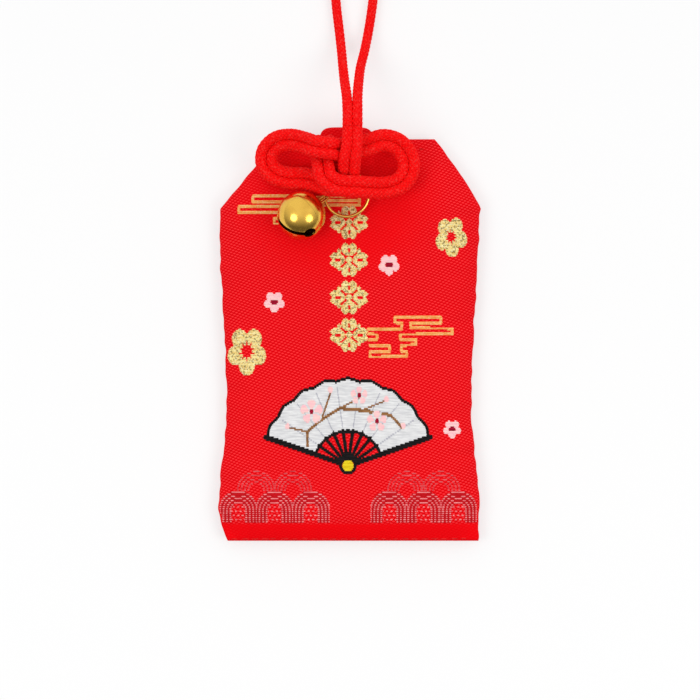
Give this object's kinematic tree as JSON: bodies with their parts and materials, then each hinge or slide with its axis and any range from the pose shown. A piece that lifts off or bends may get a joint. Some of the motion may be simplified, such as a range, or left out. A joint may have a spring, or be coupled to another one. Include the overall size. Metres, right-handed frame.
{
  "type": "omamori charm",
  "caption": "Flat brocade amulet pouch with slanted shoulders, closed by an ornamental cord knot that carries a hanging loop, a wire ring and a small jingle bell.",
  "frame": {"origin": "under the middle of the pouch, on the surface that its back lies on", "axes": "+X to the right of the front, +Y up the pouch towards the hanging loop, +Z out of the front"},
  "size_m": [0.0524, 0.1381, 0.0149],
  "materials": {
    "brocade": "woven satin brocade with gold and pink weft motifs",
    "cord": "braided polyester cord",
    "brass": "polished, lacquered",
    "steel": "plain ball",
    "card": "uncoated",
    "paper": "plain folded",
    "wood": "bare planed"
  },
  "bodies": {
    "pouch": {"front_panel": "brocade", "back_panel": "brocade", "stiffener_card": "card", "paper_wrapper": "paper", "amulet_tablet": "wood", "knot_cord": "cord", "hanging_loop": "cord"},
    "ring": {"jump_ring": "brass"},
    "bell": {"bell_upper_cup": "brass", "bell_lower_cup": "brass", "bell_eye": "brass"},
    "pellet": {"bell_pellet": "steel"}
  },
  "joints": [
    {"name": "ring_spin", "type": "hinge", "parent": "pouch", "child": "ring", "pos_m": [-0.0005, 0.0278, 0.0064], "axis": [0, 0, 1], "range_deg": [0, 100]},
    {"name": "bell_lift", "type": "hinge", "parent": "ring", "child": "bell", "pos_m": [-0.00483, 0.02704, 0.0064], "axis": [-0.1736, 0.9848, 0], "range_deg": [0, 18]},
    {"name": "pellet_roll", "type": "hinge", "parent": "bell", "child": "pellet", "pos_m": [-0.00945, 0.02345, 0.0101], "axis": [-0.6673, -0.5183, 0.5348], "continuous": true}
  ]
}
